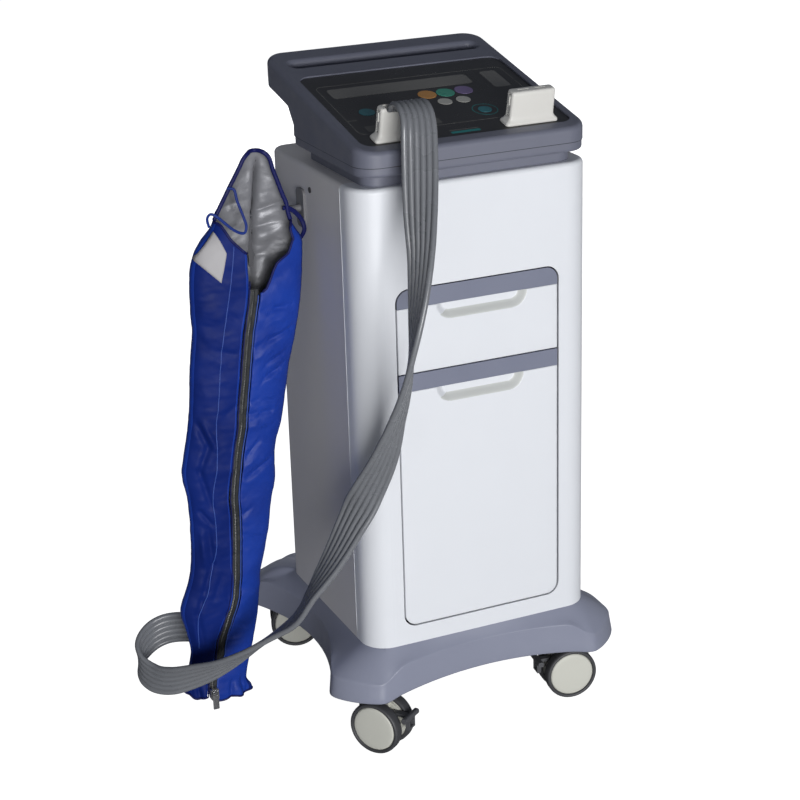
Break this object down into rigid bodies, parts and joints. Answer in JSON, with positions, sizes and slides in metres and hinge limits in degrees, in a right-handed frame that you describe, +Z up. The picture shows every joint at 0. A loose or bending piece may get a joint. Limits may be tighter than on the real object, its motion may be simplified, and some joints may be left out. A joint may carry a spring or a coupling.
{
  "type": "compression therapy pump trolley",
  "caption": "Air compression therapy pump on a four-caster trolley: sloping key console, drawers, flat hose from the outlet to a zipped leg sleeve hung at the side.",
  "frame": {"origin": "on the floor under the middle of the cabinet", "axes": "+Z up, +X to the right of a person who faces the drawers, -Y towards that person"},
  "size_m": [0.7157, 0.579, 0.9696],
  "materials": {
    "shell_white": "painted moulding, satin gloss",
    "shell_grey": "fine texture",
    "trim_grey": "satin",
    "console_grey": "fine texture, satin",
    "panel_black": "printed film",
    "window": "smoked film",
    "key_orange": "domed film",
    "key_green": "domed film",
    "key_purple": "domed film",
    "key_white": "domed film",
    "key_teal": "domed film",
    "plug_white": "satin",
    "hose_grey": "satin rubber",
    "sleeve_blue": "coated nylon",
    "webbing": "woven",
    "steel_dark": "powder coat",
    "steel_bright": "plated",
    "drawer_inside": "moulded",
    "caster_grey": "moulded nylon",
    "caster_black": "tyre rubber",
    "pedal_black": "moulded nylon",
    "alloy": "cast",
    "board_green": "circuit board",
    "tube_clear": "silicone",
    "switch_black": "moulded"
  },
  "bodies": {
    "body": {"base_cover": "trim_grey", "chassis_frame": "steel_dark", "cabinet_body": "shell_grey", "cabinet_front": "shell_white", "drawer_frame": "steel_dark", "cover_screws": "steel_dark", "console_plinth": "console_grey", "console_lower_case": "console_grey", "console_upper_case": "console_grey", "control_panel": "panel_black", "display_windows": "window", "outlet_sockets": "switch_black", "hose_plug": "plug_white", "leg_hose": "hose_grey", "leg_sleeve": "sleeve_blue", "sleeve_port": "webbing", "sleeve_hanger": "shell_grey", "sleeve_straps": "webbing", "compressor": "alloy", "valve_manifold": "alloy", "main_board": "board_green", "air_tubes": "tube_clear", "mains_inlet": "switch_black", "zip_slider": "steel_bright"},
    "drawer_upper": {"drawer_upper_panel": "shell_white", "drawer_upper_grip": "trim_grey", "drawer_upper_tray": "drawer_inside"},
    "drawer_lower": {"drawer_lower_panel": "shell_white", "drawer_lower_grip": "trim_grey", "drawer_lower_tray": "drawer_inside"},
    "caster_fl": {"caster_fl_housing": "caster_grey", "caster_fl_pins": "steel_bright"},
    "caster_fl_wheel": {"caster_fl_wheels": "caster_grey", "caster_fl_tyres": "caster_black"},
    "caster_fl_brake": {"caster_fl_pedal": "pedal_black"},
    "caster_fr": {"caster_fr_housing": "caster_grey", "caster_fr_pins": "steel_bright"},
    "caster_fr_wheel": {"caster_fr_wheels": "caster_grey", "caster_fr_tyres": "caster_black"},
    "caster_fr_brake": {"caster_fr_pedal": "pedal_black"},
    "caster_bl": {"caster_bl_housing": "caster_grey", "caster_bl_pins": "steel_bright"},
    "caster_bl_wheel": {"caster_bl_wheels": "caster_grey", "caster_bl_tyres": "caster_black"},
    "caster_br": {"caster_br_housing": "caster_grey", "caster_br_pins": "steel_bright"},
    "caster_br_wheel": {"caster_br_wheels": "caster_grey", "caster_br_tyres": "caster_black"},
    "key_orange": {"key_orange": "key_orange"},
    "key_green": {"key_green": "key_green"},
    "key_purple": {"key_purple": "key_purple"},
    "key_white_left": {"key_white_left": "key_white"},
    "key_white_right": {"key_white_right": "key_white"},
    "key_teal_left": {"key_teal_left": "key_teal"},
    "key_teal_right": {"key_teal_right": "key_teal"},
    "rocker": {"rocker_switch": "switch_black"},
    "blanking_plug": {"blanking_plug": "plug_white"},
    "blanking_latch": {"blanking_plug_latch": "plug_white"},
    "hose_latch": {"hose_plug_latch": "plug_white"},
    "zip_tab": {"zip_pull": "steel_bright"}
  },
  "joints": [
    {"name": "drawer_upper_slide", "type": "slide", "parent": "body", "child": "drawer_upper", "axis": [0, -1, 0], "range_m": [0, 0.22]},
    {"name": "drawer_lower_slide", "type": "slide", "parent": "body", "child": "drawer_lower", "axis": [0, -1, 0], "range_m": [0, 0.22]},
    {"name": "caster_fl_swivel", "type": "hinge", "parent": "body", "child": "caster_fl", "pos_m": [-0.178, -0.134, 0.1], "axis": [0, 0, 1], "continuous": true},
    {"name": "caster_fl_roll", "type": "hinge", "parent": "caster_fl", "child": "caster_fl_wheel", "pos_m": [-0.16448, -0.15261, 0.04], "axis": [0.809, 0.5878, 0], "continuous": true},
    {"name": "caster_fl_brake_press", "type": "hinge", "parent": "caster_fl", "child": "caster_fl_brake", "pos_m": [-0.15272, -0.16879, 0.059], "axis": [0.809, 0.5878, 0], "range_deg": [0, 12]},
    {"name": "caster_fr_swivel", "type": "hinge", "parent": "body", "child": "caster_fr", "pos_m": [0.178, -0.134, 0.1], "axis": [0, 0, 1], "continuous": true},
    {"name": "caster_fr_roll", "type": "hinge", "parent": "caster_fr", "child": "caster_fr_wheel", "pos_m": [0.15522, -0.1308, 0.04], "axis": [-0.1392, -0.9903, 0], "continuous": true},
    {"name": "caster_fr_brake_press", "type": "hinge", "parent": "caster_fr", "child": "caster_fr_brake", "pos_m": [0.13542, -0.12802, 0.059], "axis": [-0.1392, -0.9903, 0], "range_deg": [0, 12]},
    {"name": "caster_bl_swivel", "type": "hinge", "parent": "body", "child": "caster_bl", "pos_m": [-0.178, 0.227, 0.1], "axis": [0, 0, 1], "continuous": true},
    {"name": "caster_bl_roll", "type": "hinge", "parent": "caster_bl", "child": "caster_bl_wheel", "pos_m": [-0.15613, 0.21989, 0.04], "axis": [0.309, 0.9511, 0], "continuous": true},
    {"name": "caster_br_swivel", "type": "hinge", "parent": "body", "child": "caster_br", "pos_m": [0.178, 0.227, 0.1], "axis": [0, 0, 1], "continuous": true},
    {"name": "caster_br_roll", "type": "hinge", "parent": "caster_br", "child": "caster_br_wheel", "pos_m": [0.16828, 0.24785, 0.04], "axis": [-0.9063, -0.4226, 0], "continuous": true},
    {"name": "key_orange_press", "type": "slide", "parent": "body", "child": "key_orange", "axis": [0, 0.2147, -0.9767], "range_m": [0, 0.0004], "stiffness_N_per_m": 800},
    {"name": "key_green_press", "type": "slide", "parent": "body", "child": "key_green", "axis": [0, 0.2147, -0.9767], "range_m": [0, 0.0004], "stiffness_N_per_m": 800},
    {"name": "key_purple_press", "type": "slide", "parent": "body", "child": "key_purple", "axis": [0, 0.2147, -0.9767], "range_m": [0, 0.0004], "stiffness_N_per_m": 800},
    {"name": "key_white_left_press", "type": "slide", "parent": "body", "child": "key_white_left", "axis": [0, 0.2147, -0.9767], "range_m": [0, 0.0004], "stiffness_N_per_m": 800},
    {"name": "key_white_right_press", "type": "slide", "parent": "body", "child": "key_white_right", "axis": [0, 0.2147, -0.9767], "range_m": [0, 0.0004], "stiffness_N_per_m": 800},
    {"name": "key_teal_left_press", "type": "slide", "parent": "body", "child": "key_teal_left", "axis": [0, 0.2147, -0.9767], "range_m": [0, 0.0004], "stiffness_N_per_m": 800},
    {"name": "key_teal_right_press", "type": "slide", "parent": "body", "child": "key_teal_right", "axis": [0, 0.2147, -0.9767], "range_m": [0, 0.0004], "stiffness_N_per_m": 800},
    {"name": "rocker_tilt", "type": "hinge", "parent": "body", "child": "rocker", "pos_m": [-0.046, 0.081, 0.888], "axis": [1, 0, 0], "range_deg": [0, 20]},
    {"name": "blanking_plug_pull", "type": "slide", "parent": "body", "child": "blanking_plug", "axis": [0, -0.2147, 0.9767], "range_m": [0, 0.03]},
    {"name": "blanking_latch_press", "type": "hinge", "parent": "blanking_plug", "child": "blanking_latch", "pos_m": [0.06535, -0.12835, 0.9139], "axis": [0, 0.9767, 0.2147], "range_deg": [0, 4], "stiffness_Nm_per_rad": 0.05},
    {"name": "hose_latch_press", "type": "hinge", "parent": "body", "child": "hose_latch", "pos_m": [-0.12965, -0.12835, 0.9139], "axis": [0, 0.9767, 0.2147], "range_deg": [0, 4], "stiffness_Nm_per_rad": 0.05},
    {"name": "zip_tab_swing", "type": "hinge", "parent": "body", "child": "zip_tab", "pos_m": [-0.377, -0.0262, 0.0795], "axis": [1, 0, 0], "range_deg": [-100, 0]}
  ]
}
